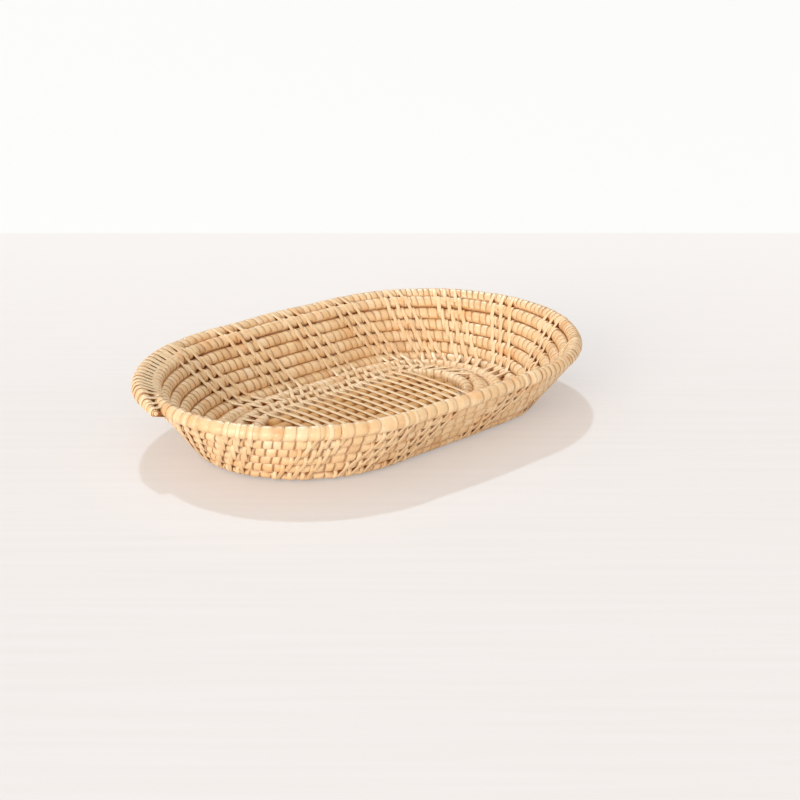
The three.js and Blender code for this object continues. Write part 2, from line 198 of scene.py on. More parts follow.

# The rim's wrap: place in quarter turns, pitch, strength of the painted shade in its seams, and crown
RIM_WRAP = (
    (35.4, 6.0, 0.2, 1.0), (35.6, 7.4, 0.2, 1.0), (36.4, 8.0, 0.3, 0.5), (36.55, 7.3, 0.4, 0.42),
    (36.7, 6.6, 0.5, 0.42), (36.85, 5.2, 0.65, 0.42), (37.0, 4.6, 0.75, 0.42),
    (37.2, 4.2, 0.75, 0.42), (37.6, 4.0, 0.7, 0.42), (38.0, 4.3, 0.6, 0.42), (38.5, 5.5, 0.5, 0.42),
    (39.0, 6.0, 0.5, 0.42), (39.2, 5.0, 0.7, 0.42),
)
RIM_PLACES, RIM_PITCHES, RIM_SEAMS, RIM_CROWNS = zip(*RIM_WRAP)

# Round the coil: where its sides meet the rows beside it and where the grooves between rows lie,
# as cosines, and how dark the painted shade is where the sides meet and in the holes beside stitches
SIDE_COSINE = 0.84
SIDE_FADE = 0.16
GROOVE_COSINE = 0.5
GROOVE_FADE = 0.32
SIDE_SHADE = 0.6
HOLE_SHADE = 0.8

# The holes beside stitches, pressed in and given painted shade: their length along the coil, and
# how strong they are on its outer face
HOLE_LENGTH = 4.6
OUTER_HOLE = 0.65
FAR_SIDE_HOLE = 0.5

# The share of the painted shade that goes away under the tail's lashing, and from where on
SHADE_CUT_UNDER_LASHING = 0.8
LASHING_PLACE = 39.0
LASHING_FADE = 0.1

# Strips and stitch groups: how far a group steps back from row to row, its slant, and the spacing
# of its stitches, which is wider round the left bend
STRIP_THICKNESS = 0.42
STITCH_WIDTH = 2.6
STITCH_STEP = 4.4
STITCH_SLANT = 2.2
STITCH_SPACING = 7.4
LEFT_SPACING_GAIN = 0.8
LEFT_SPACING_PLACE = 38.2
LEFT_SPACING_FADE = 0.5
PLACE_SPREAD = 0.3
SLANT_SPREAD = 0.25

# The slant of a group's stitches on the floor, by part of a turn
FLOOR_SLANT_ROW = 3.0
FLOOR_SLANT_FADE = 2.0
SLANT_PARTS = (1.0, 1.6, 2.0, 3.0, 3.5)
FLOOR_SLANTS = (-2.2, 4.0, 5.0, 5.0, -2.2)

# Where the groups lie on the rim row, and the innermost row that they reach
GROUP_PLACES = (
    35.53, 35.652, 35.821, 35.965, 36.24, 36.89, 37.21, 37.41,
    37.587, 37.732, 37.863, 38.0, 38.445, 38.955, 39.15,
)
INNERMOST = 0.9

panel_low, panel_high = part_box("panel_rod_3")
PANEL_MIDDLE = (panel_low + panel_high) / 2 / MM
ORIGIN = np.array([PANEL_MIDDLE.x, PANEL_MIDDLE.y - FLOOR_SHIFT, 0.0])


def section_knots():
    """Radius and height of each row's middle, from the spiral's start to the rim."""
    knots = [(START_RADIUS, FIRST_ROW_HEIGHT), (FIRST_ROW_RADIUS, FIRST_ROW_HEIGHT)]
    steps = [(FLOOR_PITCH, FLOOR_HEIGHT - FIRST_ROW_HEIGHT), (FLOOR_PITCH, 0.0)]
    steps += [(FOOT_PITCH, FOOT_RISE)]
    steps += [(WALL_PITCH, WALL_RISE)] * WALL_ROWS
    steps += [(RIM_PITCH, RIM_RISE)]
    for pitch, rise in steps:
        radius, height = knots[-1]
        knots.append((radius + math.sqrt(pitch**2 - rise**2), height + rise))
    return np.array(knots)


KNOTS = section_knots()


def between(before, start, end, after, f):
    """A point between start and end, at a share f, on a smooth curve through all four points."""
    v0, v1 = (end - before) / 2, (after - start) / 2
    point = (2 * start - 2 * end + v0 + v1) * f**3
    return point + ((-3 * start + 3 * end - 2 * v0 - v1) * f**2 + v0 * f + start)


def section(row):
    """Radius and height at a row number, on a smooth curve through the knots."""
    place = np.clip(np.asarray(row, float) + 1, 0, LAST_ROW + 1)
    i = np.minimum(np.floor(place).astype(int), len(KNOTS) - 2)
    f = (place - i)[..., None]
    last = len(KNOTS) - 1
    before, start = KNOTS[np.maximum(i - 1, 0)], KNOTS[i]
    end, after = KNOTS[np.minimum(i + 1, last)], KNOTS[np.minimum(i + 2, last)]
    point = between(before, start, end, after, f)
    return point[..., 0], np.maximum(point[..., 1], FLOOR_HEIGHT)


def row_distance(row, other):
    radius, height = section(row)
    other_radius, other_height = section(other)
    return np.hypot(other_radius - radius, other_height - height)


def section_slope(row):
    """The direction across the rows, midway between both neighbours."""
    radius, height = section(row)
    slopes = []
    for other, sign in ((row - 1, 1), (row + 1, -1)):
        r, z = section(other)
        slopes.append(np.arctan2(sign * (height - z), sign * (radius - r)))
    least = SOLID_RADIUS / 2
    first = np.where(row_distance(row, row - 1) > least, slopes[0], slopes[1])
    second = np.where(row_distance(row, row + 1) > least, slopes[1], slopes[0])
    turned = np.arctan2(np.sin(second - first), np.cos(second - first))
    return first + turned / 2


def row_at(q):
    """Row number at a place in quarter turns: it grows by one in each right bend."""
    turn = np.floor(q / 4)
    bend = np.clip(q - 4 * turn - 1, 0, 1)
    return turn - 1 + (1 - np.cos(np.pi * bend)) / 2


def turn_in_plan(x, y, angle):
    """x and y, turned by an angle about the upright."""
    cos, sin = np.cos(angle), np.sin(angle)
    return x * cos - y * sin, x * sin + y * cos


def middle_at(q):
    """The coil's middle and its outward direction in plan."""
    turn = np.floor(q / 4)
    part = q - 4 * turn
    row = row_at(q)
    radius, height = section(row)
    side = np.minimum(np.floor(part), 3).astype(int)
    share = part - side
    angle = np.choose(side, [-0.5 + 0 * share, share - 0.5, 0.5 + 0 * share, 0.5 + share]) * np.pi
    run = np.choose(side, [2 * share - 1, 1 + 0 * share, 1 - 2 * share, -1 + 0 * share])
    cos, sin = np.cos(angle), np.sin(angle)
    x = run * STRAIGHT_HALF + radius * cos * np.where(cos > 0, RIGHT_STRETCH, LEFT_STRETCH)
    swell = SIDE_BULGE * (np.maximum(row, 0) / LAST_ROW) ** 2 * np.cos(run * np.pi / 2) ** 2
    y = radius * sin + np.sign(sin) * swell * (side % 2 == 0)
    floor_share = np.clip(1 - row / LAST_ROW, 0, 1)
    x, y = turn_in_plan(x, y, FLOOR_TURN * floor_share)
    middle = np.stack([x, y + FLOOR_SHIFT * floor_share, height], -1)
    outward = np.stack([*turn_in_plan(cos, sin, FLOOR_TURN * floor_share), 0 * cos], -1)
    return middle + ORIGIN, outward


def unit(vectors):
    return vectors / np.linalg.norm(vectors, axis=-1, keepdims=True)


def ease(value):
    """A smooth step from 0 to 1."""
    value = np.clip(value, 0, 1)
    return value * value * (3 - 2 * value)


# The whole spiral, sampled finely: places, middles, directions, lengths and the rows beside it
Q = np.linspace(SPIRAL_START - BEFORE_START, SPIRAL_END + PAST_END, SPIRAL_SAMPLES)
MIDDLE, OUTWARD = middle_at(Q)
ALONG = unit(np.gradient(MIDDLE, axis=0))
SLOPE = section_slope(row_at(Q))[:, None]
UP = np.array([0.0, 0.0, 1.0])
ACROSS = OUTWARD * np.cos(SLOPE) + UP * np.sin(SLOPE)
ACROSS = unit(ACROSS - ALONG * (ACROSS * ALONG).sum(-1, keepdims=True))
FACE = np.cross(ALONG, ACROSS)
FACE *= np.sign((FACE * (UP * np.cos(SLOPE) - OUTWARD * np.sin(SLOPE))).sum(-1, keepdims=True))
LENGTH = np.concatenate([[0], np.cumsum(np.linalg.norm(np.diff(MIDDLE, axis=0), axis=1))])
TAIL = ease(1 - (np.interp(SPIRAL_END, Q, LENGTH) - LENGTH) / TAIL_LENGTH)[:, None]
MIDDLE = MIDDLE - TAIL * (TAIL_DROP * FACE + TAIL_TUCK * ACROSS)


def half_way(turns):
    """Half the distance across to the row that many turns on, or 0 where there is none."""
    other = Q + 4 * turns
    neighbour = np.stack([np.interp(other, Q, MIDDLE[:, i]) for i in range(3)], -1)
    half = np.abs(((neighbour - MIDDLE) * ACROSS).sum(-1)) / 2
    return np.where((other > SPIRAL_START) & (other < SPIRAL_END), half, 0.0)


# How far the coil's sides reach to meet the rows beside it, or the panel where that is beside it
TAIL_BESIDE = 1 - ease((Q - (SPIRAL_END - 4 - TAIL_FREE)) / TAIL_FREE_FADE)
REACH_OUT = half_way(1) * TAIL_BESIDE
BESIDE_PANEL = ((Q > 2.0) & (Q < 3.0)) | ((Q > 4.0) & (Q < SPIRAL_START + 4))
REACH_IN = np.where(BESIDE_PANEL, BESIDE_PANEL_REACH, half_way(-1))


def thickness_at(q):
    """The coil's radius: at its start it fills only the room between the panel and the first row."""
    row = row_at(q)
    room = np.minimum(row_distance(row, row_at(q + 4)) - COIL_RADIUS, section(row)[0] - PANEL_SIDE)
    radius = np.where(q < 2, np.minimum(room - SPARE, COIL_RADIUS), COIL_RADIUS)
    from_start = ease((length_at(q) - length_at(SPIRAL_START)) / TAPER_LENGTH)
    from_end = ease((length_at(SPIRAL_END) - length_at(q)) / TAIL_LENGTH)
    start_share = START_TAPER + (1 - START_TAPER) * from_start
    return radius * start_share * (TAIL_TAPER + (1 - TAIL_TAPER) * from_end)


def length_at(q):
    return np.interp(q, Q, LENGTH)


def place_at(length):
    return np.interp(length, LENGTH, Q)


def around(radius, angles):
    """Offsets across the rows and out of the face, round a coil that its neighbours press."""
    cos, sin = np.cos(angles), np.sin(angles)
    return [radius * np.sign(part) * np.abs(part) ** PRESSED for part in (cos, sin)]


def lookup(length, vectors):
    return np.stack([np.interp(length, LENGTH, vectors[:, i]) for i in range(3)], -1)


def beside(length, a, b):
    """Points beside the coil's middle: a along the slope across the rows, b out of the inner face."""
    a, b = np.asarray(a)[..., None], np.asarray(b)[..., None]
    return lookup(length, MIDDLE) + a * lookup(length, ACROSS) + b * lookup(length, FACE)


# Meshes


def ring_angles(segments):
    """Angles round a ring, and the same with the whole turn at the end, for strip coordinates."""
    angles = np.linspace(0, 2 * np.pi, segments + 1)
    return angles[:-1], angles


class Skin:
    """Collects tubes of rings into one mesh, with strip coordinates, tints and marks of painted
    shade.

    A mark is above 0 for painted shade in a hollow and below 0 for painted shade in a seam.
    """

    def __init__(self):
        self.vertices, self.faces, self.uvs, self.tints, self.darks = [], [], [], [], []
        self.count = 0

    def tube(self, rings, u, v, tint, dark, closed=False):
        """Adds n rings of m points; u has n values, v has m + 1, tint n - 1 or one, dark n by m."""
        n, m = rings.shape[:2]
        base = self.count
        self.vertices.append(rings.reshape(-1, 3))
        self.darks.append(np.broadcast_to(dark, (n, m)).reshape(-1))
        self.count += n * m
        spans = n if closed else n - 1
        ring, point = np.indices((spans, m)).reshape(2, -1)
        rings_round = np.stack([ring, ring, ring + 1, ring + 1], -1)
        points_round = np.stack([point, point + 1, point + 1, point], -1)
        self.faces += (base + rings_round % n * m + points_round % m).tolist()
        ring_u = np.append(u, u[-1] + (u[-1] - u[-2])) if closed else u
        self.uvs.append(np.stack([ring_u[rings_round], v[points_round]], -1).reshape(-1, 2))
        tint = np.broadcast_to(tint, (spans,))
        self.tints.append(np.repeat(tint, m))
        if closed:
            return
        for ring, turned in ((0, True), (n - 1, False)):
            cap = [base + ring * m + i for i in range(m)]
            self.faces.append(cap[::-1] if turned else cap)
            ends = [(u[0 if turned else -1], v[i]) for i in range(m)]
            self.uvs.append(np.array(ends[::-1] if turned else ends))
            self.tints.append(np.array([tint[0 if turned else -1]]))

    def object(self, name, material, slot, *nodes):
        """The collected mesh as one piece that stands for the given nodes."""
        mesh = bpy.data.meshes.new(name)
        mesh.from_pydata((np.concatenate(self.vertices) * MM).tolist(), [], self.faces)
        layer = mesh.uv_layers.new(name="strip")
        layer.data.foreach_set("uv", np.concatenate(self.uvs).astype(np.float32).ravel())
        tints = mesh.attributes.new("tint", "FLOAT", "FACE")
        tints.data.foreach_set("value", np.concatenate(self.tints).astype(np.float32))
        darks = mesh.attributes.new("dark", "FLOAT", "POINT")
        darks.data.foreach_set("value", np.concatenate(self.darks).astype(np.float32))
        mesh.shade_smooth()
        mesh.materials.append(material)
        thing = bpy.data.objects.new(name, mesh)
        bpy.context.scene.collection.objects.link(thing)
        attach(thing, "root")
        if nodes:
            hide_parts(*nodes)


def smooth_route(points, samples):
    """A smooth curve through points, with that many samples in each span."""
    points = np.asarray(points, float)
    padded = np.concatenate([[2 * points[0] - points[1]], points, [2 * points[-1] - points[-2]]])
    pieces = []
    f = np.linspace(0, 1, samples, endpoint=False)[:, None]
    for i in range(1, len(padded) - 2):
        pieces.append(between(*padded[i - 1 : i + 3], f))
    pieces.append(points[-1:])
    return np.concatenate(pieces)


# A peel strip in section: flat beneath, slightly crowned, with eased edges that get painted shade
STRIP_SECTION = np.array([
    (-0.5, -0.5), (-0.5, 0.0), (-0.36, 0.4), (0.0, 0.5), (0.36, 0.4), (0.5, 0.0), (0.5, -0.5),
])
STRIP_EDGE_SHADE = np.array([0.7, 0.3, 0.0, 0.0, 0.0, 0.3, 0.7])
STRIP_LOWEST = 0.03
STREAK_SHIFT = 400


def add_strip(skin, route, flats, width, closed=False, thickness=STRIP_THICKNESS):
    """A peel strip along a route; flats are the directions that its outer face looks."""
    route = np.array(route, float)
    route[:, 2] = np.maximum(route[:, 2], STRIP_LOWEST + thickness / 2)
    if closed:
        along = np.roll(route, -1, axis=0) - np.roll(route, 1, axis=0)
    else:
        along = np.gradient(route, axis=0)
    along = unit(along)
    flats = unit(flats - along * (flats * along).sum(-1, keepdims=True))
    beam = np.cross(along, flats)
    width = np.broadcast_to(width, (len(route),))
    sideways = STRIP_SECTION[:, 0][None, :, None] * width[:, None, None]
    rings = route[:, None] + beam[:, None] * sideways
    rings = rings + flats[:, None] * (STRIP_SECTION[:, 1] * thickness)[None, :, None]
    rings[..., 2] = np.maximum(rings[..., 2], STRIP_LOWEST)
    steps = np.linalg.norm(np.diff(route, axis=0), axis=1)
    u = np.concatenate([[0], np.cumsum(steps)]) + rng.uniform(0, STREAK_SHIFT)
    v = np.append(STRIP_SECTION[:, 0], STRIP_SECTION[0, 0]) * STITCH_WIDTH
    skin.tube(rings, u, v, rng.uniform(), STRIP_EDGE_SHADE[None], closed)


# Stitch groups


def stitch_spacing(q):
    gain = ease((q - LEFT_SPACING_PLACE) / LEFT_SPACING_FADE)
    return STITCH_SPACING + LEFT_SPACING_GAIN * gain


def stitch_slant(q):
    """How far a long stitch's inner end lies behind its outer end, or ahead on the floor's back."""
    on_floor = ease((FLOOR_SLANT_ROW - row_at(q)) / FLOOR_SLANT_FADE)
    return STITCH_SLANT * (1 - on_floor) - on_floor * np.interp(q % 4, SLANT_PARTS, FLOOR_SLANTS)


def group_sets():
    """For each group and level: lengths along the spiral on one row and on the one inside it."""
    sets = []
    for g, top in enumerate(GROUP_PLACES):
        level = 0
        while True:
            inside = top - 4 * (level + 1)
            upper = length_at(top - 4 * level) - STITCH_STEP * level
            lower = length_at(inside) - STITCH_STEP * level - stitch_slant(inside)
            if row_at(place_at(lower)) < INNERMOST:
                break
            for i in (-1, 0, 1):
                shift = i * stitch_spacing(top) + rng.normal(0, PLACE_SPREAD)
                sets.append((g, level, upper + shift, lower + shift + rng.normal(0, SLANT_SPREAD)))
            level += 1
    return sets


# The floor's stitches go on from the floats: how far their outer ends lean back along the coil
STITCH_PARTS = (1.5, 1.75, 2.0, 3.0, 3.6, 5.5)
STITCH_LEANS = (14.0, 10.0, 6.0, 6.0, 2.0, 0.0)
BARE_BEND = (1.0, 1.5)
FIRST_STEP, LAST_STEP = -9, 59
LAST_FLOOR_STITCH = 5.1
FIRST_FLOOR_STITCH = SPIRAL_START + 0.05


def floor_sets():
    """Lengths along the first floor row and the one outside it, for the stitches between them."""
    sets = []
    spacing = FLOAT_SPAN / (FLOAT_COUNT - 1)
    first = length_at(2.0) + STRAIGHT_HALF - FLOAT_SPAN / 2
    for step in range(FIRST_STEP, LAST_STEP + 1):
        inner = first + step * spacing + rng.normal(0, SLANT_SPREAD)
        q = place_at(inner)
        if not FIRST_FLOOR_STITCH <= q <= LAST_FLOOR_STITCH or BARE_BEND[0] < q < BARE_BEND[1]:
            continue
        lean = np.interp(q, STITCH_PARTS, STITCH_LEANS) + rng.normal(0, SLANT_SPREAD)
        sets.append((length_at(q + 4) - lean, inner))
    return sets


SETS = group_sets()
FLOOR_SETS = floor_sets()
OWN_STITCHES = np.sort([upper for _, _, upper, _ in SETS] + [outer for outer, _ in FLOOR_SETS])
ALL_STITCHES = [place for _, _, upper, lower in SETS for place in (upper, lower)]
ALL_STITCHES = np.sort(ALL_STITCHES + [place for pair in FLOOR_SETS for place in pair])


def hole_marks(lengths, stitches):
    """How near a point lies before a stitch, and how near behind one: 1 beside it, 0 away."""
    i = np.searchsorted(stitches, lengths)
    before = stitches[np.clip(i, 0, len(stitches) - 1)] - lengths
    behind = lengths - stitches[np.clip(i - 1, 0, len(stitches) - 1)]
    return [np.where((d >= 0) & (d < HOLE_LENGTH), 1 - d / HOLE_LENGTH, 0) for d in (before, behind)]


# Where the floor's wrap changes to the wall's, as a row, and the wall's to the rim's, as a place
LAST_FLOOR_ROW = 2.0
WALL_FADE = 1.5
RIM_START = SPIRAL_END - 4.1
RIM_FADE = 0.2

# One turn of the wrap from seam to seam: place, rise of its crown, and mark of painted shade in the
# seam
TURN_PROFILE = (
    (0.0, 0.0, 1.0), (0.06, 0.5, 0.75), (0.17, 0.82, 0.0), (0.38, 1.0, 0.0),
    (0.62, 0.98, 0.0), (0.83, 0.84, 0.0), (0.94, 0.55, 0.75),
)


def by_part(q, values):
    """A value that changes between the middles of a turn's four parts."""
    return np.interp(q, PARTS, values, period=4)


def by_place(q, floor, wall, rim):
    """A value that the floor's, the wall's and the rim's rows have at a place."""
    on_rim = ease((q - RIM_START) / RIM_FADE)
    on_wall = ease((row_at(q) - LAST_FLOOR_ROW) / WALL_FADE)
    return floor + (wall + (rim - wall) * on_rim - floor) * on_wall


def wrap_pitch(q):
    """How wide the wrap's turns lie at a place."""
    rim = np.interp(q, RIM_PLACES, RIM_PITCHES)
    return by_place(q, by_part(q, FLOOR_PITCHES), by_part(q, WALL_PITCHES), rim)


def seam_strength(q):
    """How strongly the painted shade in the wrap's seams shows at a place."""
    return by_place(q, FLOOR_SEAM, by_part(q, WALL_SEAMS), np.interp(q, RIM_PLACES, RIM_SEAMS))


def hole_depth(q):
    """How deep the coil is pressed in beside a stitch, which also deepens the painted shade there."""
    return by_place(q, FLOOR_HOLE, by_part(q, WALL_HOLES), RIM_HOLE)


def crown_height(q):
    """How high a turn of the wrap stands over its seams."""
    return by_place(q, WRAP_CROWN, WRAP_CROWN, np.interp(q, RIM_PLACES, RIM_CROWNS))


def place_in_turn(f, mark, pitch):
    """Where a ring lies in a turn of the wrap: marked ones keep their distance from the seam."""
    if mark == 0:
        return f
    share = SEAM_PITCH / pitch
    return f * share if f < 0.5 else 1 - (1 - f) * share


def wrap_turns():
    """Every ring of the wrapped coil: length, radius, lean, tint and mark of painted shade in its
    seam.
    """
    start, end = length_at(SPIRAL_START), length_at(SPIRAL_END)
    rings = []
    at = start
    while at < end:
        q = place_at(at)
        pitch = wrap_pitch(q) * np.clip(rng.normal(1, PITCH_SPREAD), *PITCH_SHARES)
        pitch = end - at if end - at < LAST_PITCHES * pitch else pitch
        radius = thickness_at(q)
        tint, lift = rng.uniform(), rng.normal(0, LIFT_SPREAD)
        crown = crown_height(q) * rng.uniform(*CROWN_SHARES)
        # Painted shade in this turn's seams
        seam = seam_strength(q)
        lean, tilt = WRAP_LEAN + rng.normal(0, LEAN_SPREAD), rng.normal(WRAP_TILT, TILT_SPREAD)
        for f, rise, mark in TURN_PROFILE:
            f = place_in_turn(f, mark, pitch)
            high = radius - crown * (1 - rise) + lift + tilt * (0.5 - f)
            low = radius - SEAM_DEPTH
            rings.append((at + f * pitch, low if f == 0 else high, lean, tint, mark * seam))
        at += pitch
    rings.append((end, thickness_at(SPIRAL_END) - SEAM_DEPTH, WRAP_LEAN, 0.5, 1.0))
    return np.array(rings)


def coil_surface(lengths, radii, leans, marks):
    """Points and painted shade round a stretch of the coil, whose sides meet the rows beside it."""
    theta = ring_angles(COIL_SEGMENTS)[0]
    cos, sin = np.cos(theta)[None], np.sin(theta)[None]
    side = ease((abs(cos) - SIDE_COSINE) / SIDE_FADE)
    groove = ease((abs(cos) - GROOVE_COSINE) / GROOVE_FADE)
    from_ends = np.minimum(lengths - lengths[0], lengths[-1] - lengths)
    lean = leans * np.minimum(from_ends, LEAN_FADE) / LEAN_FADE
    at = lengths[:, None] + lean[:, None] * np.cos(theta - LEAN_ANGLE)[None]
    reach_out, reach_in = (np.interp(lengths, LENGTH, far) for far in (REACH_OUT, REACH_IN))
    reach = np.where(cos > 0, reach_out[:, None], reach_in[:, None])
    own, every = hole_marks(at, OWN_STITCHES), hole_marks(at, ALL_STITCHES)
    before, behind = (np.where(cos > 0, all_of, own_of) for all_of, own_of in zip(every, own))
    outer = OUTER_HOLE * np.maximum(behind, FAR_SIDE_HOLE * before)
    hole = np.where(sin > 0, before, outer) * groove * (reach > 0)
    depth = hole_depth(place_at(lengths))[:, None]
    radius = radii[:, None] - depth * hole
    radius = radius + np.maximum(reach + TOUCH - radius, 0) * side
    points = beside(at, *around(radius, theta[None]))
    points[..., 2] = np.maximum(points[..., 2], COIL_LOWEST)
    # Painted shade where the coil's sides meet the rows beside it and in the holes beside stitches,
    # less of it under the lashing; the seams' painted shade goes below zero
    hollow = np.clip(SIDE_SHADE * side * (reach > 0) + (HOLE_SHADE + depth) * hole, 0, 1)
    lashed = ease((place_at(lengths)[:, None] - LASHING_PLACE) / LASHING_FADE)
    hollow *= 1 - SHADE_CUT_UNDER_LASHING * lashed
    return points, hollow - marks[:, None] * (1 - hollow)


def add_coils(material):
    """The coil, as one piece for each length of the frame's coil."""
    names = sorted(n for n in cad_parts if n.startswith("coil_length_"))
    turns = wrap_turns()
    seams = np.arange(0, len(turns), len(TURN_PROFILE))
    start, end = turns[0, 0], turns[-1, 0]
    cuts = [seams[np.argmin(abs(turns[seams, 0] - (start + (end - start) * i / len(names))))]
            for i in range(len(names) + 1)]
    v = ring_angles(COIL_SEGMENTS)[1] * COIL_RADIUS
    for i, name in enumerate(names):
        lengths, radii, leans, tints, marks = turns[cuts[i] : cuts[i + 1] + 1].T
        points, dark = coil_surface(lengths, radii, leans, marks)
        skin = Skin()
        skin.tube(points[:, ::-1], lengths, v, tints[:-1], dark[:, ::-1])
        skin.object(name.replace("coil_length", "wrapped_coil"), material, "wrapped_coil", name)


def add_tail_end(material):
    """The cut end of the rod in the last turn of the wrap."""
    end = length_at(SPIRAL_END)
    theta, turned = ring_angles(COIL_SEGMENTS)
    rings = []
    for past, radius, _ in ROD_END_STEPS:
        at = np.full_like(theta, end + past)
        rings.append(beside(at, radius * np.cos(theta), radius * np.sin(theta)))
    skin = Skin()
    u = np.array([peel_place for _, _, peel_place in ROD_END_STEPS])
    skin.tube(np.array(rings)[:, ::-1], u, turned * 2, ROD_END_TINT, 0.0)
    skin.object("tail_end", material, "rod_end", "tail_rod_end")


def wound_route(places, angles, radii):
    """A route round the coil at places, angles and radii, and its outward directions."""
    route = beside(places, *around(radii, np.radians(angles)))
    return route, route - beside(places, 0 * places, 0 * places)


# A long stitch: how deep it dives beside the inner row's crest, and the angles at which it lies
# round the outer row, from 0 toward the row outside that one to 90 at the crest of its inner face
DIVE = ((1.3, 103), (0.25, 93), (0.0, 80))
OVER_OUTER_ROW = (97, 84, 70, 55, 38, 20, 0)

# How far a long stitch leans along the outer row, how high it lies over the coil, and its widths
OUTER_LEAN = 0.8
RIM_LIFT = 0.02
STITCH_LIFT = 0.1
STITCH_LIFT_SPREAD = 0.03
STITCH_SHARES = (0.9, 1.12)


def stitch_route(upper, lower, radius):
    """A long stitch: out of the inner row's face, over the outer row, round it and back outside."""
    points = [(lower, angle, radius - depth) for depth, angle in DIVE]
    for angle in OVER_OUTER_ROW:
        points.append((upper + OUTER_LEAN * math.cos(math.radians(angle)), angle, radius))
    mirrored = [(place, -angle, depth) for place, angle, depth in points[:-1]]
    points += mirrored[::-1]
    return wound_route(*(np.array(column) for column in zip(*points)))


def add_stitches(material):
    """Three long stitches for each group and pair of rows."""
    for g in range(len(GROUP_PLACES)):
        skin = Skin()
        for group, level, upper, lower in SETS:
            if group == g:
                lift = RIM_LIFT if level == 0 else STITCH_LIFT
                radius = COIL_RADIUS + lift + rng.normal(0, STITCH_LIFT_SPREAD)
                route, flats = stitch_route(upper, lower, radius)
                add_strip(skin, route, flats, STITCH_WIDTH * rng.uniform(*STITCH_SHARES))
        skin.object(f"stitches_{g + 1:02d}", material, "stitch_peel", f"stitch_group_{g + 1:02d}")


# Floor panel


def lay_in_panel(points, shifted=True):
    """Turns points or directions made about the panel's middle into the floor, and shifts points."""
    points = np.asarray(points, float)
    x, y = turn_in_plan(points[..., 0], points[..., 1], FLOOR_TURN)
    turned = np.stack([x, y, points[..., 2]], -1)
    return turned + ORIGIN + (0, FLOOR_SHIFT, 0) if shifted else turned


def bend_inside(right):
    """Radius across and along the tray inside the innermost row in the right or the left bend."""
    if right:
        return (START_RADIUS + FIRST_ROW_RADIUS) / 2 - COIL_RADIUS - RIGHT_ROOM, RIGHT_STRETCH
    return FIRST_ROW_RADIUS - COIL_RADIUS, LEFT_STRETCH


def rod_end(y, right):
    """How far a floor rod reaches from the panel's middle."""
    radius, stretch = bend_inside(right)
    return STRAIGHT_HALF + math.sqrt(radius**2 - y**2) * stretch - PANEL_GAP


def wave(x, i, waves):
    """The sum of a floor rod's waves along its length."""
    return sum(height * np.sin(x / length + shift * i) for height, length, shift in waves)


def rod_radius(x, left, right, i):
    """A floor rod's radius along its length, rounded off at both ends."""
    radius = ROD_LOOK_RADIUS * (1 + wave(x, i, ROD_SWELLS))
    from_end = np.clip(np.minimum(right - x, x + left) / ROD_ROUNDING, 0, 1)
    return radius * (ROD_END_SHARE + (1 - ROD_END_SHARE) * np.sqrt(1 - (1 - from_end) ** 2))


def add_panel_rods(material):
    """The floor's rods side by side, each as flat on top as its node is high."""
    theta, turned = ring_angles(ROD_SEGMENTS)
    cos, sin = np.cos(theta)[None], np.sin(theta)[None]
    # Painted shade on each rod's sides, where it meets the rods beside it
    dark = ease((np.abs(cos) - ROD_SIDE_COSINE) / (1 - ROD_SIDE_COSINE))
    for i in range(PANEL_RODS):
        off = (i - (PANEL_RODS - 1) / 2) * ROD_PITCH
        right, left = rod_end(off, True), rod_end(off, False)
        x = np.linspace(-left, right, ROD_RINGS)
        radius = rod_radius(x, left, right, i)[:, None]
        sway = wave(x, i, ROD_SWAYS) + ROD_SPREAD * i
        y = off + sway[:, None] + radius * cos
        z = PANEL_MIDDLE.z + radius * np.minimum(sin, ROD_RADIUS / ROD_LOOK_RADIUS)
        z = np.maximum(z, PANEL_MIDDLE.z - ROD_RADIUS)
        rings = lay_in_panel(np.stack([np.broadcast_to(x[:, None], y.shape), y, z], -1))
        tint = (i + 0.5) / PANEL_RODS
        skin = Skin()
        u = x + ROD_STREAK_SHIFT * i
        skin.tube(rings, u, turned * ROD_RADIUS, tint, np.broadcast_to(dark, y.shape))
        skin.object(f"floor_rod_{i + 1}", material, "panel_rod", f"panel_rod_{i + 1}")


def first_row_side(x):
    """How far to the side the first row's middle lies, at a place along the panel."""
    past = max(abs(x) - STRAIGHT_HALF, 0)
    reach = FIRST_ROW_RADIUS * (RIGHT_STRETCH if x > 0 else LEFT_STRETCH)
    return FIRST_ROW_RADIUS * math.sqrt(max(1 - (past / reach) ** 2, 0))


def float_points(x, lean, sag):
    """One float's loop about the panel's middle, as listed points."""
    top = PANEL_MIDDLE.z + ROD_RADIUS + STRIP_THICKNESS / 2
    crest = FIRST_ROW_HEIGHT + COIL_RADIUS + STRIP_THICKNESS / 2
    side = first_row_side(x)
    far = x + lean
    return [
        (x - 1.6, -side - 4.6, 2.2), (x - 1.4, -side - 3.9, FIRST_ROW_HEIGHT + 1.3),
        (x - 0.8, -side - 1.4, crest - 0.15), (x, -side + 2.5, crest), (x, -18, top + 0.1),
        (x + lean / 2, 0, top + sag),
        (far, 18, top + 0.1), (far, side - 2.5, crest), (far + 0.8, side + 1.4, crest - 0.15),
        (far + 1.4, side + 3.9, FIRST_ROW_HEIGHT + 1.3), (far + 1.6, side + 4.6, 2.2),
        (far, side, FLOAT_UNDER), (x, 0, FLOAT_UNDER), (x, -side, FLOAT_UNDER),
    ]


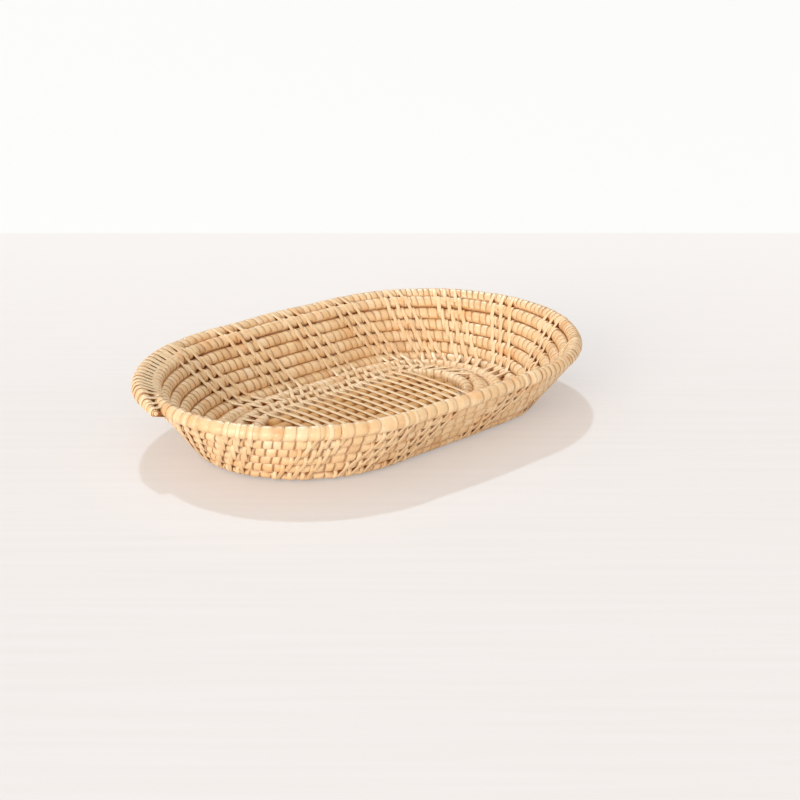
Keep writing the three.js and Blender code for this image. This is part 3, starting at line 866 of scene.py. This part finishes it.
def add_floats(material):
    """Strips that float straight over the panel and dive beyond the first row on both sides."""
    skin = Skin()
    for i in range(FLOAT_COUNT):
        x = -FLOAT_SPAN / 2 + i * FLOAT_SPAN / (FLOAT_COUNT - 1) + rng.normal(0, FLOAT_SPREAD)
        lean = rng.normal(FLOAT_LEAN, FLOAT_SPREAD)
        points = float_points(x, lean, rng.uniform(*FLOAT_SAGS))
        route = smooth_route(points + points[:1], FLOAT_SAMPLES)[:-1]
        height = np.full(len(route), FLOAT_MIDDLE_HEIGHT)
        middle = np.stack([route[:, 0], route[:, 1] * FLOAT_MIDDLE_SHARE, height], -1)
        flats = (route - middle) * (1, 1, FLOAT_UPRIGHT)
        width = FLOAT_WIDTH * rng.uniform(*FLOAT_SHARES)
        add_strip(skin, lay_in_panel(route), lay_in_panel(flats, False), width, closed=True)
    skin.object("floor_floats", material, "binding_peel", "panel_binding")


def pair_loop(upper, lower, upper_radius, lower_radius):
    """A loop round two neighbouring rows, as route and outward directions."""
    angles = [np.linspace(*ends, LOOP_POINTS) for ends in (OVER_ANGLES, UNDER_ANGLES)]
    places = np.repeat([upper, lower], LOOP_POINTS)
    radii = np.repeat([upper_radius, lower_radius], LOOP_POINTS)
    return wound_route(places, np.concatenate(angles), radii)


def add_flat_strip(skin, x, y, z, width):
    """A flat strip in the floor, along points given about the panel's middle."""
    route = np.stack(np.broadcast_arrays(x, y, z), -1)
    add_strip(skin, lay_in_panel(route), np.broadcast_to(UP, route.shape), width)


def add_closing_strips(skin):
    """Flat strips that close the floor round its panel: arcs at its ends and strips at its sides."""
    angles = np.radians(np.linspace(-90, 90, ARC_POINTS))
    for right in (True, False):
        radius, stretch = bend_inside(right)
        radius -= PANEL_GAP / 2 / stretch
        sign = 1 if right else -1
        x = sign * (STRAIGHT_HALF + radius * np.cos(angles) * stretch)
        width = PANEL_GAP + CLOSING_OVERLAP
        add_flat_strip(skin, x, radius * np.sin(angles), CLOSING_HEIGHT, width)
    x = np.linspace(-CLOSING_HALF, CLOSING_HALF, CLOSING_POINTS)
    height = CLOSING_HEIGHT + CLOSING_STEP * STRIP_THICKNESS
    for side in (-CLOSING_SIDE, CLOSING_SIDE):
        add_flat_strip(skin, x, side, height, CLOSING_WIDTH)


def add_floor_stitches(material):
    """The close stitches between the two innermost rows, and the strips that close the floor."""
    skin = Skin()
    for outer, inner in FLOOR_SETS:
        inner_radius = float(thickness_at(place_at(inner))) + LOOP_LIFT
        route, flats = pair_loop(outer, inner, COIL_RADIUS + LOOP_LIFT, inner_radius)
        add_strip(skin, route, flats, FLOAT_WIDTH * rng.uniform(*LOOP_SHARES), closed=True)
    add_closing_strips(skin)
    skin.object("floor_stitches", material, "stitch_peel")


def add_lashing(material):
    """Turns of strip round the tail and the row beside it."""
    skin = Skin()
    end = length_at(SPIRAL_END) - LASHING_END
    start = length_at(SPIRAL_END - LASHING_START)
    for i in range(LASHING_TURNS):
        at = start + (end - start) * i / (LASHING_TURNS - 1)
        inner = length_at(place_at(at) - 4) + LASHING_SLANT
        radius = max(float(thickness_at(place_at(at))), LEAST_LOOP_RADIUS) + OUTER_LASHING_LIFT
        route, flats = pair_loop(at, inner, radius, COIL_RADIUS + INNER_LASHING_LIFT)
        add_strip(skin, route, flats, LASHING_WIDTH * rng.uniform(*LOOP_SHARES), closed=True)
    skin.object("tail_strips", material, "binding_peel", "tail_lashing")


# Materials


def srgb(red, green, blue):
    """A colour given in 0 to 255 as it looks, in linear light."""
    values = [v / 255 for v in (red, green, blue)]
    return tuple(v / 12.92 if v <= 0.04045 else ((v + 0.055) / 1.055) ** 2.4 for v in values) + (1.0,)


class Shading:
    """A node material round one Principled shader."""

    def __init__(self, name):
        self.material = bpy.data.materials.new(name)
        self.material.use_nodes = True
        self.nodes = self.material.node_tree.nodes
        self.nodes.clear()
        self.output = self.nodes.new("ShaderNodeOutputMaterial")
        self.shader = self.nodes.new("ShaderNodeBsdfPrincipled")
        self.link(self.shader.outputs[0], self.output.inputs[0])

    def link(self, source, target):
        self.material.node_tree.links.new(source, target)

    def attribute(self, name):
        node = self.nodes.new("ShaderNodeAttribute")
        node.attribute_name = name
        return node.outputs["Fac"]

    def noise(self, coordinates, scale, detail):
        """Noise over coordinates, with a scale for each of them."""
        mapping = self.nodes.new("ShaderNodeMapping")
        mapping.inputs["Scale"].default_value = scale
        self.link(coordinates, mapping.inputs[0])
        noise = self.nodes.new("ShaderNodeTexNoise")
        noise.inputs["Scale"].default_value = 1.0
        noise.inputs["Detail"].default_value = detail
        self.link(mapping.outputs[0], noise.inputs["Vector"])
        return noise.outputs["Fac"]

    def spread(self, value, low, high, to_low, to_high):
        """Maps a value from one range to another, held at both ends."""
        node = self.nodes.new("ShaderNodeMapRange")
        ends = (("From Min", low), ("From Max", high), ("To Min", to_low), ("To Max", to_high))
        for name, number in ends:
            node.inputs[name].default_value = number
        self.link(value, node.inputs["Value"])
        return node.outputs[0]

    def ramp(self, value, stops):
        node = self.nodes.new("ShaderNodeValToRGB")
        elements = node.color_ramp.elements
        while len(elements) < len(stops):
            elements.new(0.5)
        for element, (place, colour) in zip(elements, stops):
            element.position = place
            element.color = colour
        self.link(value, node.inputs[0])
        return node.outputs[0]

    def mix(self, blend, factor, first, second):
        """Blends a second colour, or the output of a node, into a first one."""
        node = self.nodes.new("ShaderNodeMix")
        node.data_type = "RGBA"
        node.blend_type = blend
        for name, value in (("Factor", factor), ("A", first), ("B", second)):
            socket = next(s for s in node.inputs if s.name == name and s.enabled)
            if isinstance(value, (tuple, float)):
                socket.default_value = value
            else:
                self.link(value, socket)
        return next(s for s in node.outputs if s.enabled)


# Peel: streaks to a millimetre along a piece and round it, stains to a metre, shine, and relief
STREAK_SCALE = (3.0, 0.2)
STREAK_RANGE = (0.3, 0.7)
STREAK_SHADES = (0.84, 1.06)
STREAK_DETAIL = 3.0
STAIN_SCALE = (70.0, 70.0, 110.0)
STAIN_RANGE = (0.54, 0.72)
STAIN_STRENGTH = 0.55
SHINE = 0.65
FIBRE_BUMP = 0.35
FIBRE_HEIGHT = 0.0002


def peel_material(name, tints, stain, seam, hole, scale=1.0, roughness=(0.27, 0.4)):
    """Rattan peel: tints by turn or strip, fine streaks, stains, and painted shade in seams and
    hollows.
    """
    shading = Shading(name)
    strip = shading.nodes.new("ShaderNodeUVMap")
    strip.uv_map = "strip"
    base = shading.ramp(shading.attribute("tint"), tints)
    along, across = (scale * size for size in STREAK_SCALE)
    streaks = shading.noise(strip.outputs[0], (along, across, 1.0), STREAK_DETAIL)
    lines = shading.spread(streaks, *STREAK_RANGE, *STREAK_SHADES)
    streaked = shading.mix("MULTIPLY", 1.0, base, lines)
    where = shading.nodes.new("ShaderNodeTexCoord")
    blotches = shading.noise(where.outputs["Object"], STAIN_SCALE, STREAK_DETAIL)
    strength = shading.spread(blotches, *STAIN_RANGE, 0.0, STAIN_STRENGTH)
    stained = shading.mix("MULTIPLY", strength, streaked, stain)
    # Marks of painted shade, in seams and in hollows
    marks = shading.attribute("dark")
    seam_shaded = shading.mix("MIX", shading.spread(marks, 0.0, -1.0, 0.0, 1.0), stained, seam)
    hollow_shaded = shading.mix("MIX", shading.spread(marks, 0.0, 1.0, 0.0, 1.0), seam_shaded, hole)
    shading.link(hollow_shaded, shading.shader.inputs["Base Color"])
    rough = shading.spread(streaks, *STREAK_RANGE, *roughness)
    shading.link(rough, shading.shader.inputs["Roughness"])
    # The shine is taken away where painted shade marks a hollow
    shine = shading.spread(marks, 0.0, 1.0, SHINE, 0.0)
    shading.link(shine, shading.shader.inputs["Specular IOR Level"])
    bump = shading.nodes.new("ShaderNodeBump")
    bump.inputs["Strength"].default_value = FIBRE_BUMP
    bump.inputs["Distance"].default_value = FIBRE_HEIGHT
    shading.link(streaks, bump.inputs["Height"])
    shading.link(bump.outputs[0], shading.shader.inputs["Normal"])
    return shading.material


# The camera's heading over the table, and how far along it the table ends and the wall begins
HEADING = math.radians(42.21)
TABLE_END = 0.460
EDGE_BLUR = 0.004

# The table's grain and colours, with painted light that makes it lighter toward its far edge, how far
# along it that lighter colour is reached, and the share of plain colour that the camera sees in it
GRAIN_SCALE = (6.0, 160.0, 1.0)
GRAIN_DETAIL = 4.0
GRAIN_TINTS = [(0.3, srgb(236, 231, 227)), (0.7, srgb(239, 234, 231))]
FAR_TABLE_LIGHT = srgb(244, 240, 237)
FAR_PLACE = 0.9 * TABLE_END
WALL_PAINT = srgb(248, 249, 247)
TABLE_ROUGHNESS = 0.6
TABLE_SHINE = 0.15
LIFTED_SHARE = 0.4


def table_material():
    """A pale table top with faint grain along its far edge and painted light toward it, and the
    wall's paint beyond it.
    """
    shading = Shading("table_top")
    where = shading.nodes.new("ShaderNodeTexCoord")
    turned = shading.nodes.new("ShaderNodeVectorRotate")
    turned.rotation_type = "Z_AXIS"
    turned.inputs["Angle"].default_value = HEADING
    shading.link(where.outputs["Object"], turned.inputs["Vector"])
    grain = shading.noise(turned.outputs[0], GRAIN_SCALE, GRAIN_DETAIL)
    top = shading.ramp(grain, GRAIN_TINTS)
    parts = shading.nodes.new("ShaderNodeSeparateXYZ")
    shading.link(turned.outputs[0], parts.inputs[0])
    along = parts.outputs["Y"]
    beyond = shading.spread(along, TABLE_END - EDGE_BLUR, TABLE_END + EDGE_BLUR, 0.0, 1.0)
    # Painted light: the table grows lighter toward its far edge
    far = shading.spread(along, 0.0, FAR_PLACE, 0.0, 1.0)
    top = shading.mix("MIX", far, top, FAR_TABLE_LIGHT)
    colour = shading.mix("MIX", beyond, top, WALL_PAINT)
    shading.link(colour, shading.shader.inputs["Base Color"])
    shading.shader.inputs["Roughness"].default_value = TABLE_ROUGHNESS
    shading.shader.inputs["Specular IOR Level"].default_value = TABLE_SHINE
    seen = shading.nodes.new("ShaderNodeLightPath")
    share = shading.spread(seen.outputs["Is Camera Ray"], 0.0, 1.0, 0.0, LIFTED_SHARE)
    glow = shading.nodes.new("ShaderNodeEmission")
    shading.link(colour, glow.inputs["Color"])
    mix = shading.nodes.new("ShaderNodeMixShader")
    for source, target in zip((share, shading.shader.outputs[0], glow.outputs[0]), mix.inputs):
        shading.link(source, target)
    shading.link(mix.outputs[0], shading.output.inputs[0])
    return shading.material


PEEL_TINTS = [
    (0.0, srgb(226, 186, 138)), (0.12, srgb(242, 208, 161)), (0.35, srgb(236, 201, 152)),
    (0.6, srgb(246, 216, 173)), (0.85, srgb(239, 204, 154)), (1.0, srgb(249, 223, 186)),
]
STITCH_TINTS = [(0.0, srgb(243, 211, 166)), (0.5, srgb(249, 222, 180)), (1.0, srgb(239, 204, 157))]
ROD_TINTS = [(0.0, srgb(222, 171, 104)), (0.5, srgb(210, 155, 88)), (1.0, srgb(217, 165, 98))]
STAIN = srgb(246, 206, 158)
ROD_STAIN = srgb(196, 162, 112)
# Painted shade in the wrap's seams
SEAM_SHADE = srgb(142, 80, 30)
# Painted shade in hollows: where rows and rods meet, beside stitches and at strips' edges
HOLLOW_SHADE = srgb(154, 82, 24)

peel = peel_material("wrapped_peel", PEEL_TINTS, STAIN, SEAM_SHADE, HOLLOW_SHADE)
stitch = peel_material("stitch_peel", STITCH_TINTS, STAIN, SEAM_SHADE, HOLLOW_SHADE, scale=1.4)
rods = peel_material("panel_rods", ROD_TINTS, ROD_STAIN, SEAM_SHADE, HOLLOW_SHADE, scale=0.5, roughness=(0.5, 0.7))

add_coils(peel)
add_tail_end(stitch)
add_stitches(stitch)
add_panel_rods(rods)
add_floats(stitch)
add_floor_stitches(stitch)
add_lashing(stitch)


# Stage: table, lights and camera

TABLE_SIZE = 8

bpy.ops.mesh.primitive_plane_add(size=TABLE_SIZE)
table = bpy.context.object
table.name = "table"
table.data.materials.append(table_material())


def add_sun(name, angle, energy, colour, tilt, turn):
    """A distant lamp; its width and the way it points are in degrees."""
    data = bpy.data.lights.new(name, "SUN")
    data.angle = math.radians(angle)
    data.energy = energy
    data.color = colour
    lamp = bpy.data.objects.new(name, data)
    lamp.rotation_euler = (math.radians(tilt), 0, math.radians(turn))
    bpy.context.scene.collection.objects.link(lamp)


add_sun("window", angle=3.0, energy=1.3, colour=(0.62, 0.81, 0.97), tilt=31.7, turn=151.8)
add_sun("front_light", angle=30.0, energy=1.8, colour=(1.0, 0.93, 0.84), tilt=76.0, turn=-72.0)

# The soft light's colour, the way from which more of it comes and how much more, and the background
SOFT_LIGHT = (0.75, 0.69, 0.645, 1)
FRONT_WAY = (-0.86, -0.51, 0.0)
FRONT_SHARE = 0.45
BACKGROUND = srgb(254, 254, 253)


def studio_world():
    """Soft light from all round, stronger from the front, before a near-white background."""
    world = bpy.data.worlds.new("studio")
    world.use_nodes = True
    nodes, links = world.node_tree.nodes, world.node_tree.links
    nodes.clear()
    where = nodes.new("ShaderNodeTexCoord")
    front = nodes.new("ShaderNodeVectorMath")
    front.operation = "DOT_PRODUCT"
    front.inputs[1].default_value = tuple(part * FRONT_SHARE for part in FRONT_WAY)
    links.new(where.outputs["Generated"], front.inputs[0])
    level = nodes.new("ShaderNodeMath")
    level.operation = "ADD"
    level.inputs[1].default_value = 1.0
    links.new(front.outputs["Value"], level.inputs[0])
    soft, backdrop = nodes.new("ShaderNodeBackground"), nodes.new("ShaderNodeBackground")
    soft.inputs[0].default_value = SOFT_LIGHT
    links.new(level.outputs[0], soft.inputs[1])
    backdrop.inputs[0].default_value = BACKGROUND
    seen = nodes.new("ShaderNodeLightPath")
    mix = nodes.new("ShaderNodeMixShader")
    links.new(seen.outputs["Is Camera Ray"], mix.inputs[0])
    links.new(soft.outputs[0], mix.inputs[1])
    links.new(backdrop.outputs[0], mix.inputs[2])
    output = nodes.new("ShaderNodeOutputWorld")
    links.new(mix.outputs[0], output.inputs[0])
    return world


bpy.context.scene.world = studio_world()

# The camera, at the photograph's view
CAMERA_PLACE = (-0.5702, -0.6599, 0.3367)
CAMERA_PITCH = math.radians(20.45)
FOCAL_PIXELS = 1522.0
FRAME_PIXELS = 800.0
SENSOR = 36.0

camera_data = bpy.data.cameras.new("camera")
camera_data.sensor_fit = "HORIZONTAL"
camera_data.sensor_width = SENSOR
camera_data.lens = FOCAL_PIXELS / FRAME_PIXELS * SENSOR
camera = bpy.data.objects.new("camera", camera_data)
camera.location = CAMERA_PLACE
camera.rotation_euler = (math.pi / 2 - CAMERA_PITCH, 0, -HEADING)
bpy.context.scene.collection.objects.link(camera)
bpy.context.scene.camera = camera

bpy.context.scene.view_settings.view_transform = "Standard"
